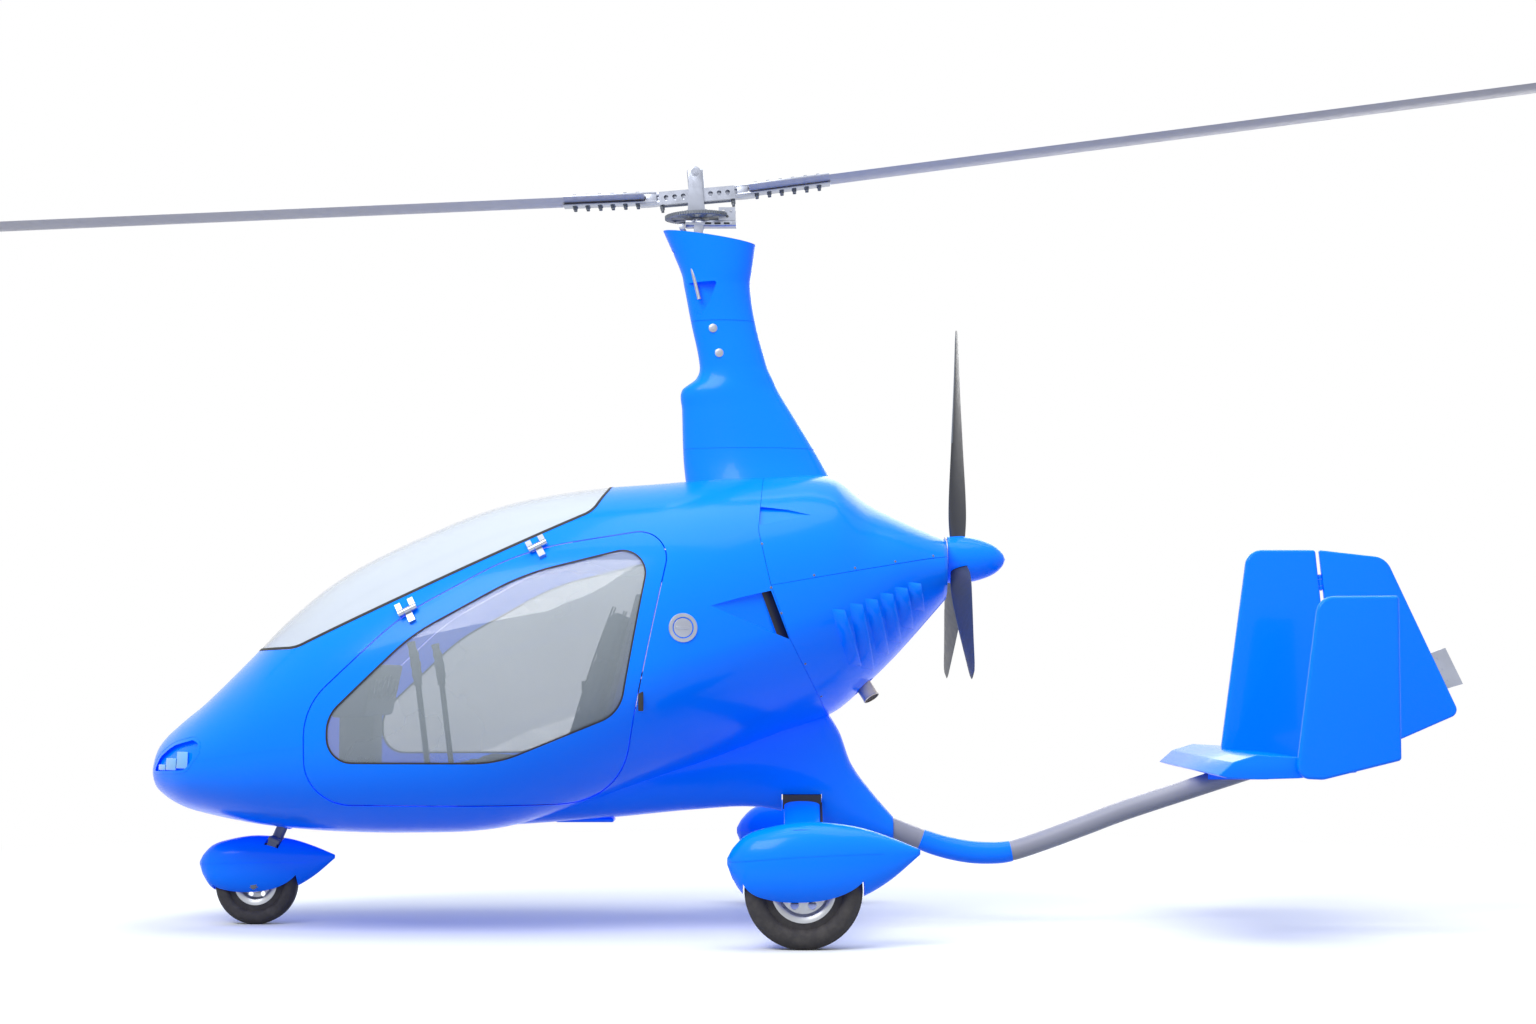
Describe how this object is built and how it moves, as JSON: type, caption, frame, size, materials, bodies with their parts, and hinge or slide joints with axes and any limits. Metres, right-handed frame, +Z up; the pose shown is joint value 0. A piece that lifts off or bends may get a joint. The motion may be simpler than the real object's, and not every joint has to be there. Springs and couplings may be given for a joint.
{
  "type": "two-seat gyrocopter",
  "caption": "Enclosed side-by-side gyrocopter on spatted tricycle gear, with a teetering two-blade rotor on a faired mast, a pusher propeller and a triple-fin tail.",
  "frame": {"origin": "on the ground on the centre line, midway between the two parked rotor blade tips", "axes": "nose towards -Y, tail towards +Y, left (port) side towards +X, +Z up"},
  "size_m": [1.9108, 8.3634, 3.2492],
  "materials": {
    "blue_paint": "gloss blue paint over composite",
    "window_glass": "clear, slightly smoked acrylic",
    "lamp_lens": "clear lens",
    "grey_metal": "satin grey",
    "bare_aluminium": "machined, clear anodised",
    "rotor_aluminium": "satin extruded aluminium",
    "dark_plastic": "matt black",
    "seat_trim": "dark grey woven fabric",
    "engine_metal": "dark casting",
    "exhaust_steel": "brushed steel",
    "tyre_rubber": "matt rubber",
    "wheel_alloy": "cast alloy",
    "propeller_composite": "satin dark composite"
  },
  "bodies": {
    "airframe": {"nose_shell": "blue_paint", "belly_pan": "blue_paint", "windscreen": "window_glass", "roof_panel": "blue_paint", "side_panel_left": "blue_paint", "side_panel_right": "blue_paint", "upper_cowl": "blue_paint", "lower_cowl": "blue_paint", "keel_fairing": "blue_paint", "mast_fairing": "blue_paint", "mast": "grey_metal", "rear_bulkhead": "dark_plastic", "cabin_floor": "dark_plastic", "engine": "engine_metal", "exhaust_pipe": "exhaust_steel", "fuel_cap": "dark_plastic", "nose_lights": "lamp_lens", "seat_left": "seat_trim", "seat_right": "seat_trim", "instrument_panel": "dark_plastic", "control_stick_left": "dark_plastic", "control_stick_right": "dark_plastic", "rudder_pedals": "grey_metal", "door_hinge_left": "grey_metal", "door_hinge_right": "grey_metal", "main_gear_bow": "blue_paint", "main_spat_left": "blue_paint", "main_spat_right": "blue_paint", "nose_leg_housing": "grey_metal", "keel_tube": "grey_metal", "tailplane": "blue_paint", "centre_fin": "blue_paint", "outer_fin_left": "blue_paint", "outer_fin_right": "blue_paint"},
    "door_left": {"door_left": "blue_paint", "door_window_left": "window_glass", "door_strap_left": "grey_metal"},
    "door_right": {"door_right": "blue_paint", "door_window_right": "window_glass", "door_strap_right": "grey_metal"},
    "nose_steering": {"nose_fork": "grey_metal", "nose_spat": "blue_paint"},
    "nose_wheel": {"nose_tyre": "tyre_rubber", "nose_rim": "wheel_alloy"},
    "main_wheel_left": {"main_tyre_left": "tyre_rubber", "main_rim_left": "wheel_alloy"},
    "main_wheel_right": {"main_tyre_right": "tyre_rubber", "main_rim_right": "wheel_alloy"},
    "rudder": {"rudder": "blue_paint", "trim_tab": "bare_aluminium"},
    "propeller": {"propeller_hub": "blue_paint", "propeller_blades": "propeller_composite"},
    "rotor_roll": {"gimbal_block": "bare_aluminium"},
    "rotor_pitch": {"head_block": "bare_aluminium"},
    "rotor_spin": {"rotor_tower": "bare_aluminium"},
    "rotor_teeter": {"hub_bar": "bare_aluminium", "rotor_blades": "rotor_aluminium"}
  },
  "joints": [
    {"name": "door_left_hinge", "type": "hinge", "parent": "airframe", "child": "door_left", "pos_m": [0.609, -0.957, 1.136], "axis": [0.0778, -0.8901, -0.449], "range_deg": [0, 75]},
    {"name": "door_right_hinge", "type": "hinge", "parent": "airframe", "child": "door_right", "pos_m": [-0.609, -0.957, 1.136], "axis": [0.0778, 0.8901, 0.449], "range_deg": [0, 75]},
    {"name": "nose_steer", "type": "hinge", "parent": "airframe", "child": "nose_steering", "pos_m": [0, -1.591, 0.148], "axis": [0, 0.4003, 0.9164], "range_deg": [-28, 28]},
    {"name": "nose_wheel_spin", "type": "hinge", "parent": "nose_steering", "child": "nose_wheel", "pos_m": [0, -1.591, 0.148], "axis": [1, 0, 0], "continuous": true},
    {"name": "main_wheel_left_spin", "type": "hinge", "parent": "airframe", "child": "main_wheel_left", "pos_m": [0.85, 0.412, 0.197], "axis": [1, 0, 0], "continuous": true},
    {"name": "main_wheel_right_spin", "type": "hinge", "parent": "airframe", "child": "main_wheel_right", "pos_m": [-0.85, 0.412, 0.197], "axis": [1, 0, 0], "continuous": true},
    {"name": "rudder_hinge", "type": "hinge", "parent": "airframe", "child": "rudder", "pos_m": [0, 2.395, 0.556], "axis": [0, -0.095, 0.9955], "range_deg": [-27, 27]},
    {"name": "propeller_spin", "type": "hinge", "parent": "airframe", "child": "propeller", "pos_m": [0, 0.99, 1.338], "axis": [0, 1, 0], "continuous": true},
    {"name": "rotor_roll", "type": "hinge", "parent": "airframe", "child": "rotor_roll", "pos_m": [0, 0.03, 2.52], "axis": [0, 1, 0], "range_deg": [-8, 8]},
    {"name": "rotor_pitch", "type": "hinge", "parent": "rotor_roll", "child": "rotor_pitch", "pos_m": [0, 0.03, 2.556], "axis": [-1, 0, 0], "range_deg": [0, 14]},
    {"name": "rotor_spin", "type": "hinge", "parent": "rotor_pitch", "child": "rotor_spin", "pos_m": [0, 0.01565, 2.781], "axis": [0, -0.0401, 0.9992], "continuous": true},
    {"name": "rotor_teeter", "type": "hinge", "parent": "rotor_spin", "child": "rotor_teeter", "pos_m": [0, 0.01565, 2.781], "axis": [1, 0, 0], "range_deg": [-8, 0]}
  ]
}
